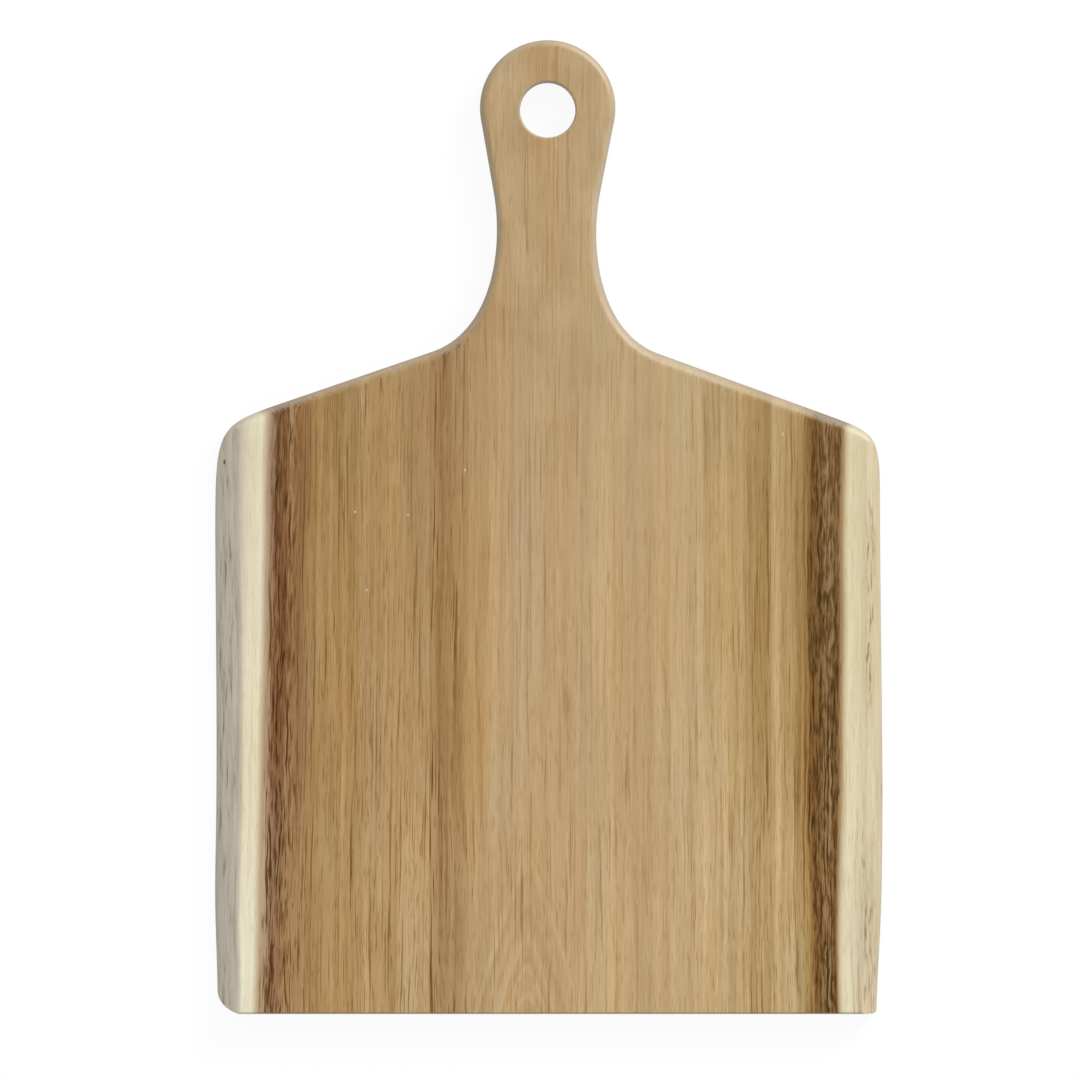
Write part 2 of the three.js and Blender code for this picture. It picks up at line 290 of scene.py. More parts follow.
def board_mesh():
    """The whole board as one closed mesh, with a face-corner layer that marks the bark surface."""
    samples = outline_samples()
    outline = [place for place, _ in samples]
    steps = inward_steps(outline)
    quarter = math.pi / 2
    lower = [quarter * i / LOWER_ROUND_STEPS for i in range(LOWER_ROUND_STEPS + 1)]
    upper = [quarter * (1 - i / UPPER_ROUND_STEPS) for i in range(UPPER_ROUND_STEPS + 1)]

    def heights(radius):
        rows = [(radius * (1 - math.sin(a)), radius * (1 - math.cos(a))) for a in lower]
        for i in range(1, WALL_STEPS):
            rows.append((0.0, lerp(radius, THICKNESS - radius, i / WALL_STEPS)))
        for a in upper:
            rows.append((radius * (1 - math.sin(a)), THICKNESS - radius * (1 - math.cos(a))))
        return rows

    columns = []
    for (place, radius), step in zip(samples, steps):
        column = []
        for inset, z in heights(radius):
            moved = place + step * inset
            column.append(trim_to_bark(Vector((moved.x, moved.y, z))))
        columns.append(column)
    rings = [list(ring) for ring in zip(*columns)]

    hole_centre = Vector((axis_at(head_y), head_y - HOLE_BELOW_HEAD_CENTRE))
    hole_radius = HOLE_DIAMETER / 2
    hole_profile = []
    for i in range(HOLE_ARRIS_STEPS + 1):
        angle = quarter * i / HOLE_ARRIS_STEPS
        hole_profile.append((
            hole_radius + HOLE_ARRIS * (1 - math.sin(angle)),
            THICKNESS - HOLE_ARRIS * (1 - math.cos(angle))))
    for i in range(1, HOLE_WALL_STEPS):
        z = lerp(THICKNESS - HOLE_ARRIS, HOLE_ARRIS, i / HOLE_WALL_STEPS)
        hole_profile.append((hole_radius, z))
    hole_profile += [(radius, THICKNESS - z) for radius, z in hole_profile[HOLE_ARRIS_STEPS::-1]]
    hole_rings = []
    for radius, z in hole_profile:
        hole_rings.append([
            Vector((hole_centre.x + radius * math.cos(a), hole_centre.y + radius * math.sin(a), z))
            for a in (2 * math.pi * i / HOLE_STEPS for i in range(HOLE_STEPS))])

    mesh = bmesh.new()
    bark = mesh.loops.layers.float.new("bark")

    def skin(rings):
        made = [[mesh.verts.new(place) for place, _ in ring] for ring in rings]
        for row in range(len(rings) - 1):
            for i in range(len(rings[row])):
                j = (i + 1) % len(rings[row])
                corners = ((row, i), (row, j), (row + 1, j), (row + 1, i))
                face = mesh.faces.new([made[at][k] for at, k in corners])
                for loop, (at, k) in zip(face.loops, corners):
                    loop[bark] = min(rings[at][k][1] / CUT_SOFTNESS, 1.0)
        return made

    body = skin(rings)
    hole = skin([[(place, 0.0) for place in ring] for ring in hole_rings])

    def cap(outer, inner):
        verts = outer + inner
        loops = [[vert.co for vert in outer], [vert.co for vert in inner]]
        for triangle in tessellate_polygon(loops):
            mesh.faces.new([verts[i] for i in triangle])

    cap(body[-1], hole[0])
    cap(body[0], hole[-1])
    bmesh.ops.remove_doubles(mesh, verts=mesh.verts, dist=SAME_POINT)
    bmesh.ops.recalc_face_normals(mesh, faces=mesh.faces)
    return mesh


def cut_piece(board, name, from_x, to_x):
    """The part of the board between two upright planes across it, closed where it was cut."""
    piece = board.copy()
    for x, side in ((from_x, -1), (to_x, 1)):
        cut = bmesh.ops.bisect_plane(
            piece, geom=piece.verts[:] + piece.edges[:] + piece.faces[:], dist=SAME_POINT,
            plane_co=(x, 0, 0), plane_no=(side, 0, 0), clear_outer=True)
        edges = [part for part in cut["geom_cut"] if isinstance(part, bmesh.types.BMEdge)]
        if edges:
            bmesh.ops.holes_fill(piece, edges=edges)
    bmesh.ops.recalc_face_normals(piece, faces=piece.faces)
    bmesh.ops.scale(piece, vec=(MM, MM, MM), verts=piece.verts)
    mesh = bpy.data.meshes.new(name)
    piece.to_mesh(mesh)
    piece.free()
    for polygon in mesh.polygons:
        polygon.use_smooth = True
    mesh.set_sharp_from_angle(angle=SHARP_ANGLE)
    made = bpy.data.objects.new(name, mesh)
    bpy.context.scene.collection.objects.link(made)
    flat_faces = made.modifiers.new("flat_faces", "WEIGHTED_NORMAL")
    flat_faces.weight = FLAT_WEIGHT
    flat_faces.keep_sharp = True
    return made


def srgb(red, green, blue):
    """A colour as it looks on screen, 0 to 255, as the linear values that a shader takes."""
    linear = []
    for value in (red, green, blue):
        share = value / 255
        linear.append(share / 12.92 if share <= 0.04045 else ((share + 0.055) / 1.055) ** 2.4)
    return (*linear, 1.0)


class Nodes:
    """Node tree of a material or world being made; each call adds nodes and gives an output."""

    def __init__(self, owner, end):
        owner.use_nodes = True
        self.owner = owner
        self.tree = owner.node_tree
        self.end = self.tree.nodes[end]

    def put(self, socket, value):
        if isinstance(value, bpy.types.NodeSocket):
            self.tree.links.new(value, socket)
        else:
            socket.default_value = value

    def node(self, kind, inputs, output=0, **settings):
        made = self.tree.nodes.new(kind)
        for key, value in settings.items():
            setattr(made, key, value)
        for key, value in inputs.items():
            self.put(made.inputs[key], value)
        return made.outputs[output]

    def parts(self, kind, value):
        """The three outputs of a node that takes a vector or a colour apart."""
        made = self.tree.nodes.new(kind)
        self.put(made.inputs[0], value)
        return made.outputs[:3]

    def math(self, operation, *values):
        return self.node("ShaderNodeMath", dict(enumerate(values)), operation=operation)

    def add(self, total, pattern, amount):
        """Adds a pattern that swings about 0.5."""
        return self.math("MULTIPLY_ADD", self.math("SUBTRACT", pattern, 0.5), amount, total)

    def scaled(self, vector, scale, shift):
        return self.node(
            "ShaderNodeVectorMath", {0: vector, 1: scale, 2: shift}, operation="MULTIPLY_ADD")

    def place_in_mm(self):
        coordinates = self.node("ShaderNodeTexCoord", {}, "Object")
        return self.scaled(coordinates, (1 / MM,) * 3, (0, 0, 0))

    def remap(self, value, from_low, from_high, to_low=0.0, to_high=1.0):
        return self.node("ShaderNodeMapRange", {
            "Value": value, "From Min": from_low, "From Max": from_high,
            "To Min": to_low, "To Max": to_high}, interpolation_type="SMOOTHSTEP")

    def noise(self, vector, pattern, shift):
        frequency = tuple(1 / length for length in pattern["size"])
        value = self.node("ShaderNodeTexNoise", {
            "Vector": self.scaled(vector, frequency, shift), "Scale": 1.0,
            "Detail": pattern["detail"], "Roughness": pattern.get("roughness", 0.5)})
        return self.remap(value, *pattern["shows"]) if "shows" in pattern else value

    def ramp(self, value, stops, low, high):
        made = self.tree.nodes.new("ShaderNodeValToRGB")
        position = self.node(
            "ShaderNodeMapRange", {"Value": value, "From Min": low, "From Max": high})
        self.put(made.inputs["Fac"], position)
        elements = made.color_ramp.elements
        while len(elements) < len(stops):
            elements.new(1.0)
        for element, (at, colour) in zip(elements, sorted(stops)):
            element.position = (at - low) / (high - low)
            element.color = colour
        return made.outputs["Color"]

    def spot(self, vector, centre, reach):
        """1 near a place on the board, and 0 from its reach on."""
        scale = (1 / reach[0], 1 / reach[1], 0)
        offset = self.scaled(vector, scale, (-centre[0] / reach[0], -centre[1] / reach[1], 0))
        distance = self.node("ShaderNodeVectorMath", {0: offset}, "Value", operation="LENGTH")
        return self.remap(distance, 1.0, SPOT_CORE)

    def mix(self, factor, a, b, blend="MIX"):
        return self.node(
            "ShaderNodeMix", {0: factor, 6: a, 7: b}, 2, data_type="RGBA", blend_type=blend)


# Wood tones as they look on screen
SAPWOOD = srgb(232, 220, 184)
SAPWOOD_WARM = srgb(224, 208, 168)
SAPWOOD_GREY = srgb(206, 196, 170)
BLUSH = srgb(201, 178, 141)
AMBER_BLUSH = srgb(199, 176, 130)
RUSSET = srgb(160, 125, 91)
AMBER_RUSSET = srgb(158, 125, 80)
DARK = srgb(110, 70, 33)
DARK_OLIVE = srgb(107, 72, 29)
GOLDEN = srgb(157, 120, 66)
OLIVE_BROWN = srgb(120, 88, 46)
BROWN = srgb(147, 106, 61)
WARM_BROWN = srgb(169, 132, 79)
STREAK_BROWN = srgb(161, 123, 76)
TAN = srgb(177, 141, 90)
GOLDEN_TAN = srgb(176, 144, 90)
GOLDEN_BROWN = srgb(168, 133, 78)
HONEY = srgb(192, 159, 111)
GOLDEN_HONEY = srgb(188, 156, 104)
PALE_HONEY = srgb(195, 165, 117)
BARK_DARK = srgb(102, 74, 40)
BARK_GREY = srgb(213, 202, 180)
BARK_PALE = srgb(232, 222, 200)
BARK_BROWN = srgb(136, 108, 68)
BARK_STAIN = srgb(190, 160, 108)
BARK_WARM = srgb(200, 183, 147)
# Grey painted near the bark surface's foot, standing in for its sheen
BARK_SHEEN_GREY = srgb(190, 184, 170)
# Paler tone of round edges: partly wear, partly painted sheen
WORN_AND_SHEEN = srgb(175, 165, 145)
KNOT = srgb(70, 50, 36)
SPECK = srgb(208, 190, 154)
GLUE_DARK = srgb(150, 116, 76)
GLUE_PALE = srgb(176, 144, 98)

# Each stave of wood, told by place across the serving face in mm:
# - seed: where its patterns are read from
# - taper, pinch, paling: how the log widens, how far the dark band narrows about pinch_x near the
#   sawn end, and how far dark wood turns paler there
# - tones: colours
# - figure: strength of long dark lines, of short dark pores, and of fibre and bands
# - mottle_length: length of the mottle in dark wood
# - bark and its grey foot: tones of the bark surface, and how much grey painted sheen it gets near
#   its foot
# - seam: stretches of bark left in the wood: middle, half length, width and strength of the stain
# - marks: small spots: middle, reach and colour
LEFT_WOOD = {
    "name": "left_live_edge_wood", "seed": 3.1,
    "taper": 1.35e-4, "pinch": 0.0, "pinch_x": -125.0, "paling": 0.13,
    "mottle_length": 10.0, "sheen_grey": 0.5,
    "tones": [
        (-150, SAPWOOD_GREY), (-140.0, SAPWOOD_GREY), (-136.5, SAPWOOD), (-130.8, SAPWOOD),
        (-128.8, BLUSH), (-126.5, RUSSET), (-124.0, DARK), (-119.6, DARK),
        (-117.4, BROWN), (-112.5, BROWN), (-104.0, WARM_BROWN), (-89.0, WARM_BROWN),
        (-82.0, TAN), (-53.0, TAN)],
    "figure": [
        (-150, (0.03, 0.10, 0.12, 1)), (-128.0, (0.03, 0.10, 0.12, 1)),
        (-124.6, (0.80, 1.00, 1.20, 1)), (-118.5, (0.75, 0.85, 1.00, 1)),
        (-112.5, (0.45, 0.45, 0.60, 1)), (-106.0, (0.28, 0.28, 0.42, 1)),
        (-53.0, (0.20, 0.26, 0.36, 1))],
    "bark": [(0.33, BARK_DARK), (0.425, BARK_GREY), (0.54, BARK_PALE)],
    "seam": (),
    "marks": [
        ((-146.0, 29.3), (0.8, 1.5), KNOT), ((-87.1, 6.8), (0.6, 0.7), SPECK),
        ((-63.2, 5.4), (0.5, 0.7), SPECK), ((-81.7, -28.4), (0.6, 0.6), SPECK)],
}
CENTRE_WOOD = {
    "name": "heartwood", "seed": 11.7,
    "taper": 0.0, "pinch": 0.0, "pinch_x": 0.0, "paling": 0.3,
    "mottle_length": 5.0, "sheen_grey": 0.0,
    "tones": [
        (-54, STREAK_BROWN), (-44.5, STREAK_BROWN), (-36.0, TAN), (-22.0, HONEY), (14.0, HONEY),
        (24.0, PALE_HONEY), (36.0, HONEY), (46.0, HONEY), (56.0, PALE_HONEY), (64.0, PALE_HONEY),
        (71.0, GOLDEN_HONEY), (86.5, GOLDEN_HONEY), (90.0, GOLDEN_TAN),
        (95.5, GOLDEN_BROWN), (101.0, GOLDEN_BROWN)],
    "figure": [
        (-54, (0.60, 0.30, 0.50, 1)), (-45.0, (0.48, 0.28, 0.45, 1)),
        (-34.0, (0.14, 0.16, 0.24, 1)), (60.0, (0.10, 0.14, 0.20, 1)),
        (70.0, (0.16, 0.20, 0.30, 1)), (88.0, (0.18, 0.22, 0.32, 1)),
        (101.0, (0.24, 0.28, 0.42, 1))],
    "bark": [(0.3, BARK_BROWN), (0.7, BARK_PALE)],
    "seam": (),
    "marks": [((-37.6, 25.7), (0.7, 0.8), SPECK)],
}
RIGHT_WOOD = {
    "name": "right_live_edge_wood", "seed": 23.9,
    "taper": 0.0, "pinch": 0.35, "pinch_x": 125.0, "paling": 0.0,
    "mottle_length": 6.5, "sheen_grey": 0.3,
    "tones": [
        (100, GOLDEN_HONEY), (104.0, GOLDEN_HONEY), (110.5, GOLDEN_TAN), (114.0, GOLDEN_BROWN),
        (116.2, GOLDEN), (118.0, DARK_OLIVE), (122.0, DARK_OLIVE), (124.5, OLIVE_BROWN),
        (128.0, OLIVE_BROWN), (130.9, DARK_OLIVE), (132.2, AMBER_RUSSET), (133.5, AMBER_BLUSH),
        (135.4, SAPWOOD_WARM), (139.0, SAPWOOD_WARM), (148.0, BARK_WARM), (151.0, BARK_WARM)],
    "figure": [
        (100, (0.16, 0.22, 0.34, 1)), (112.0, (0.24, 0.28, 0.42, 1)),
        (116.2, (0.30, 0.30, 0.50, 1)), (118.4, (0.60, 0.80, 1.20, 1)),
        (121.4, (0.60, 0.90, 1.20, 1)), (123.6, (0.55, 1.00, 1.30, 1)),
        (128.6, (0.50, 1.00, 1.30, 1)), (130.6, (0.45, 0.85, 1.10, 1)),
        (132.5, (0.03, 0.12, 0.12, 1)), (151.0, (0.10, 0.14, 0.14, 1))],
    "bark": [(0.30, BARK_BROWN), (0.40, BARK_WARM), (0.70, SAPWOOD_WARM)],
    "seam": (((144.6, -38.0), 62.0, 2.6, 0.33), ((144.4, -195.0), 75.0, 5.0, 0.16)),
    "marks": [((105.5, 41.9), (0.5, 1.1), SPECK)],
}

# Patterns in the wood: size in mm across the grain, along it and into the board, and detail. A
# pattern of marks has "shows", the range that brings them out of its noise. A layer of the figure
# has its middle value and how far it swings the shade, as a power.
WANDER = {"size": (90, 200, 90), "detail": 1}
WAVER = {"size": (12, 55, 12), "detail": 1}
RIPPLE = {"size": (5, 16, 5), "detail": 1}
FEATHER = {"size": (1.6, 120, 1.6), "detail": 2}
LONG_FIBRE = {"size": (0.75, 70, 0.75), "detail": 1}
SHORT_FIBRE = {"size": (0.7, 9, 0.7), "detail": 2}
FIBRE = {"middle": 0.5, "swing": 1.6}
MOTTLE = {"width": 0.9, "detail": 2, "middle": 0.5, "swing": 3.2}
FLECKS = {"size": (0.7, 9, 0.7), "detail": 1, "shows": (0.60, 0.76), "middle": 0.08, "swing": 0.3}
PORES = {
    "size": (0.55, 10, 0.55), "detail": 1, "shows": (0.57, 0.71), "middle": 0.13, "swing": -0.95}
LINES = {
    "size": (0.85, 52, 0.85), "detail": 1, "shows": (0.56, 0.70), "middle": 0.16, "swing": -1.3}
LINE_CLUSTERS = {"size": (8, 60, 8), "detail": 1, "shows": (0.36, 0.62, 0.3, 1.6)}
BANDS = {"size": (2.6, 300, 2.6), "detail": 2, "middle": 0.5, "swing": 1.3}
RINGS = {"size": (2.4, 400, 1), "detail": 2, "middle": 0.5, "swing": 1.0}
ARCHES = {"size": (8, 90, 90), "detail": 2, "middle": 0.5, "swing": 0.45}
BLOTCHES = {"size": (45, 110, 45), "detail": 2}
HANDLE_PATCHES = {"size": (17, 26, 17), "detail": 2, "middle": 0.5, "swing": 0.36}
DRIFT = {"size": (14, 140, 14), "detail": 2}
SMUDGES = {"size": (3.5, 38, 3.5), "detail": 2}
STREAKS = {"size": (0.9, 13, 0.9), "detail": 2, "roughness": 0.6}
SEAM_WAVER = {"size": (400, 24, 400), "detail": 3}
SEAM_DASHES = {"size": (1.0, 10, 1.0), "detail": 2, "shows": (0.52, 0.68)}
GLUE_SPREAD = {"size": (2, 14, 2), "detail": 3}
# Where a stave's patterns are read from, as shares of its seed, and where the glue's is
SHIFT = (1.0, 1.7, 2.3)
OTHER_SHIFT = (3.1, 0.7, 1.3)
GLUE_SHIFT = (3, 5, 7)

# Ranges below are: from low, from high, and what these two become where that isn't 0 and 1
# Grain: how far it wanders, wavers and ripples, the last by place along the board and by distance
# from its middle
WANDER_REACH = 4.0
WAVER_REACH = 1.8
RIPPLE_ALONG = (0.0, 0.6, 0.9, 0.2)
RIPPLE_ACROSS = (104.0, 120.0, 0.0, 2.0)
# How far fibres of one tone reach into the next
FEATHER_ACROSS = (119.0, 127.0, 6.0, 0.6)
# The log: its pith below the serving face, where its taper counts from, and where a band pinches
PITH_DEPTH = 114.0
TAPER_FROM_Y = -85.0
PINCH_FROM_Y = -105.0
# Where dark wood starts and stops turning paler towards the sawn end
PALING_FROM_Y = -85.0
PALING_TO_Y = -150.0
# Figure is stronger towards the sawn end than towards the handle
END_FIGURE = 1.3
HANDLE_FIGURE = 0.75
# The share of short fibres, and how mottle follows the strength of pores
SHORT_FIBRE_SHARE = 0.45
MOTTLE_BY_PORES = (0.3, 1.1)
# The darkest and the palest that fibres get, how much paler mottle may get, and how soft these
# limits are
DARKEST = -0.85
PALEST = 0.14
PALEST_MOTTLE = 0.36
LIMIT_SOFTNESS = 0.14
# The most that bands show, and their strength by place towards the handle
MOST_BANDED = 0.6
HANDLE_BANDS = (0.4, 0.9, 1.0, 0.5)
# The figure of the centre stave forms pointed arches where the saw runs out of the growth rings
# near the sawn end: top of the first one, how steep and how round they are, and over what length
# they come in
ARCH_TOP = (-9.0, -118.0)
ARCH_STEEPNESS = 3.3
ARCH_ROUND = 11.0
ARCH_FADE = 25.0
# Shade of blotches, of the way up the board and of the handle, and where the handle's shade starts
BLOTCH_SHADE = 0.12
ALONG_SHADE = -0.07
HANDLE_PALENESS = 0.015
HANDLE_FROM_Y = -80.0
# How much each colour channel follows the shade of the figure, and how the oil shifts each
SHADE_TINT = (1.0, 1.35, 2.0)
OIL_SHIFT = (-0.065, -0.047, 0.015)
# How much each channel follows the slow drift between warmer and cooler wood, the drift of the
# handle, and how drift follows the strength of fibre
DRIFT_TINT = (0.18, 0.0, -0.32)
HANDLE_DRIFT = -0.27
DRIFT_BY_FIBRE = (0.1, 0.22, 0.2, 1.0)
# Wear and painted sheen of the round edges, shade of the end grain, and the facing at which each
# shows
EDGE_WEAR_AND_SHEEN = 0.44
EDGE_FACING = (0.98, 0.7)
END_GRAIN = 0.8
END_FACING = (0.8, 0.97)
# Bark surface: range of its wear, share of streaks in it, and a darker stretch on the left one
BARK_WEAR = (0.3, 0.7)
STREAK_SHARE = 0.45
SMUDGE_PLACE = (-146.0, -68.0)
SMUDGE_REACH = (9.0, 75.0)
SMUDGE_DEPTH = 0.03
# Its colour fades in below its crest, which smudges make uneven, and below a height it turns grey
# with painted sheen
CREST_FADE = 2.0
CREST_UNEVEN = 5.0
SHEEN_GREY_FROM = 10.0
# Bark left in a seam: how far it wavers, width of its stain and core of its dashes as shares of its
# width, and how much stronger dashes are than the stain
SEAM_WAVER_REACH = 6.0
SEAM_STAIN_WIDTH = 2.0
SEAM_DASH_CORE = 0.3
SEAM_DASH_STRENGTH = 4.4
# Share of a small spot that is fully coloured
SPOT_CORE = 0.4
# Oiled finish: its reflection on round edges and on flat faces, which are duller, the facing at
# which a face is flat, its roughness, and what fibres, bark, round edges and flat faces add to that
SHEEN = 0.9
FLAT_SHEEN = 0.15
FLAT_FACING = (0.93, 0.995)
ROUGHNESS = 0.24
FIBRE_ROUGHNESS = 0.2
BARK_ROUGHNESS = 0.2
EDGE_ROUGHNESS = 0.18
FLAT_ROUGHNESS = 0.24
# Relief of the fibres beside that of the pores, and its depth and strength
FIBRE_RELIEF = 0.4
RELIEF_DEPTH = 0.08 * MM
RELIEF_STRENGTH = 0.3
# Glue: range of its spread, and roughness over that range
GLUE_TONES = (0.3, 0.7)
GLUE_ROUGHNESS = (0.4, 0.55)


class Wood(Nodes):
    """Material of one stave, made in the order of the methods below."""

    def __init__(self, wood):
        super().__init__(bpy.data.materials.new(wood["name"]), "Principled BSDF")
        self.wood = wood
        self.shift = tuple(wood["seed"] * share for share in SHIFT)
        self.other_shift = tuple(wood["seed"] * share for share in OTHER_SHIFT)
        self.place = self.place_in_mm()
        self.x, self.y, self.z = self.parts("ShaderNodeSeparateXYZ", self.place)
        self.along = self.remap(self.y, end_y, apex_y)
        normal = self.node("ShaderNodeNewGeometry", {}, "Normal")
        _, normal_y, normal_z = self.parts("ShaderNodeSeparateXYZ", normal)
        self.facing_along = self.math("ABSOLUTE", normal_y)
        self.facing_up = self.math("ABSOLUTE", normal_z)
        self.bark = self.node("ShaderNodeAttribute", {}, "Fac", attribute_name="bark")

    def find_grain(self):
        """The log's taper, a slow wander, and wavers that are livelier near the sawn end."""
        from_foot = self.math("SUBTRACT", self.y, TAPER_FROM_Y)
        taper = self.math("MULTIPLY_ADD", from_foot, self.wood["taper"], 1.0)
        log_x = self.math("MULTIPLY", self.x, taper)
        log_x = self.add(log_x, self.noise(self.place, WANDER, self.shift), WANDER_REACH)
        self.log_x = self.add(log_x, self.noise(self.place, WAVER, self.shift), WAVER_REACH)
        ripple_reach = self.math(
            "MAXIMUM", self.remap(self.along, *RIPPLE_ALONG),
            self.remap(self.math("ABSOLUTE", self.x), *RIPPLE_ACROSS))
        ripple = self.noise(self.place, RIPPLE, self.other_shift)
        self.grain_x = self.add(self.log_x, ripple, ripple_reach)
        self.grain = self.node("ShaderNodeCombineXYZ", {0: self.grain_x, 1: self.y, 2: self.z})

    def tone(self):
        """Colour and strength of figure by growth ring, told as a place on the serving face."""
        height = self.math("ADD", self.z, PITH_DEPTH - THICKNESS)
        self.ring = self.math("SQRT", self.math(
            "MULTIPLY_ADD", self.log_x, self.log_x, self.math("MULTIPLY", height, height)))
        tones = self.wood["tones"]
        low, high = tones[0][0], tones[-1][0]
        if low < 0 < high:
            face_x = self.log_x
        else:
            face_square = self.math("MULTIPLY_ADD", self.ring, self.ring, -PITH_DEPTH ** 2)
            face_out = self.math("SQRT", self.math("MAXIMUM", face_square, 0.0))
            face_x = self.math("MULTIPLY", face_out, math.copysign(1.0, low))
        feather_reach = self.remap(self.math("ABSOLUTE", face_x), *FEATHER_ACROSS)
        tone_x = self.add(face_x, self.noise(self.grain, FEATHER, self.shift), feather_reach)
        pinch = self.remap(self.y, PINCH_FROM_Y, end_y, 0.0, self.wood["pinch"])
        from_band = self.math("SUBTRACT", tone_x, self.wood["pinch_x"])
        tone_x = self.math("MULTIPLY_ADD", from_band, pinch, tone_x)
        figure = self.ramp(tone_x, self.wood["figure"], low, high)
        self.line_strength, self.pore_strength, self.fibre_strength = self.parts(
            "ShaderNodeSeparateColor", figure)
        paling = self.remap(self.y, PALING_FROM_Y, PALING_TO_Y, 0.0, self.wood["paling"])
        return self.mix(paling, self.ramp(tone_x, tones, low, high), HONEY, "LIGHTEN")

    def layer(self, total, pattern, kind, strength):
        swing = self.math("MULTIPLY", self.math("SUBTRACT", pattern, kind["middle"]), kind["swing"])
        return self.math("MULTIPLY_ADD", swing, strength, total)

    def fine_figure(self):
        """Fibre, mottle, flecks, pores and lines drawn out along the grain, as a power of a shade."""
        mottle_size = (MOTTLE["width"], self.wood["mottle_length"], MOTTLE["width"])
        mottle = self.noise(self.grain, {**MOTTLE, "size": mottle_size}, self.shift)
        mottle_strength = self.remap(self.pore_strength, *MOTTLE_BY_PORES)
        flecks = self.noise(self.grain, FLECKS, self.other_shift)
        lines = self.noise(self.grain, LINES, self.shift)
        clusters = self.noise(self.grain, LINE_CLUSTERS, self.other_shift)
        clustered = self.math("MULTIPLY", self.line_strength, clusters)
        depth = self.layer(0.0, self.fibre, FIBRE, self.fibre_strength)
        depth = self.layer(depth, mottle, MOTTLE, mottle_strength)
        depth = self.layer(depth, flecks, FLECKS, self.line_strength)
        depth = self.layer(depth, self.pores, PORES, self.pore_strength)
        depth = self.layer(depth, lines, LINES, clustered)
        lively = self.remap(self.y, end_y, apex_y, END_FIGURE, HANDLE_FIGURE)
        depth = self.math("MULTIPLY", depth, lively)
        palest = self.math("MULTIPLY_ADD", mottle_strength, PALEST_MOTTLE, PALEST)
        depth = self.math("SMOOTH_MIN", depth, palest, LIMIT_SOFTNESS)
        return self.math("SMOOTH_MAX", depth, DARKEST, LIMIT_SOFTNESS)

    def broad_figure(self, depth):
        """Adds bands, growth rings, arches, blotches and the handle's own shade."""
        bands = self.noise(self.grain, BANDS, self.shift)
        ring_place = self.node("ShaderNodeCombineXYZ", {0: self.ring, 1: self.y, 2: 0.0})
        rings = self.noise(ring_place, RINGS, self.shift)
        aside = self.math("SUBTRACT", self.grain_x, ARCH_TOP[0])
        aside = self.math("MULTIPLY", aside, ARCH_STEEPNESS)
        aside = self.math("SQRT", self.math("MULTIPLY_ADD", aside, aside, ARCH_ROUND ** 2))
        under_arch = self.math("SUBTRACT", self.math("SUBTRACT", ARCH_TOP[1], self.y), aside)
        arch_place = self.node(
            "ShaderNodeCombineXYZ", {0: under_arch, 1: self.grain_x, 2: self.z})
        arches = self.noise(arch_place, ARCHES, self.other_shift)
        arch_strength = self.remap(under_arch, 0.0, ARCH_FADE)
        band_strength = self.math("MINIMUM", self.fibre_strength, MOST_BANDED)
        band_strength = self.math(
            "MULTIPLY", band_strength, self.remap(self.towards_handle, *HANDLE_BANDS))
        depth = self.layer(depth, bands, BANDS, band_strength)
        depth = self.layer(depth, rings, RINGS, band_strength)
        depth = self.layer(depth, arches, ARCHES, arch_strength)
        depth = self.add(depth, self.noise(self.grain, BLOTCHES, self.shift), BLOTCH_SHADE)
        patches = self.noise(self.place, HANDLE_PATCHES, self.shift)
        depth = self.layer(depth, patches, HANDLE_PATCHES, self.towards_handle)
        depth = self.add(depth, self.along, ALONG_SHADE)
        return self.math("MULTIPLY_ADD", self.towards_handle, HANDLE_PALENESS, depth)

    def shade(self):
        """The whole figure as a colour that the tone is multiplied by."""
        self.towards_handle = self.remap(self.y, HANDLE_FROM_Y, head_y)
        long_fibre = self.noise(self.grain, LONG_FIBRE, self.shift)
        short_fibre = self.noise(self.grain, SHORT_FIBRE, self.other_shift)
        long_share = self.math("MULTIPLY", long_fibre, 1 - SHORT_FIBRE_SHARE)
        self.fibre = self.math("MULTIPLY_ADD", short_fibre, SHORT_FIBRE_SHARE, long_share)
        self.pores = self.noise(self.grain, PORES, self.shift)
        depth = self.broad_figure(self.fine_figure())
        drift = self.math("SUBTRACT", self.noise(self.grain, DRIFT, self.other_shift), 0.5)
        drift = self.math("MULTIPLY_ADD", self.towards_handle, HANDLE_DRIFT, drift)
        drift = self.math("MULTIPLY", drift, self.remap(self.fibre_strength, *DRIFT_BY_FIBRE))
        channels = []
        for shade_follow, oil_shift, drift_follow in zip(SHADE_TINT, OIL_SHIFT, DRIFT_TINT):
            power = self.math("MULTIPLY_ADD", depth, shade_follow, oil_shift)
            power = self.math("MULTIPLY_ADD", drift, drift_follow, power)
            channels.append(self.math("EXPONENT", power))
        return self.node("ShaderNodeCombineColor", dict(enumerate(channels)))

    def worn_and_sheened_edges(self, colour):
        """Round edges paler by tilt, partly wear and partly painted sheen, and darker end grain."""
        # Round edges turn paler as they tilt: partly wear, partly painted sheen
        colour = self.mix(self.remap(self.facing_up, *EDGE_FACING, 0.0, EDGE_WEAR_AND_SHEEN), colour, WORN_AND_SHEEN)
        end_grain = self.remap(self.facing_along, *END_FACING, 1.0, END_GRAIN)
        return self.node("ShaderNodeVectorMath", {0: colour, 3: end_grain}, operation="SCALE")

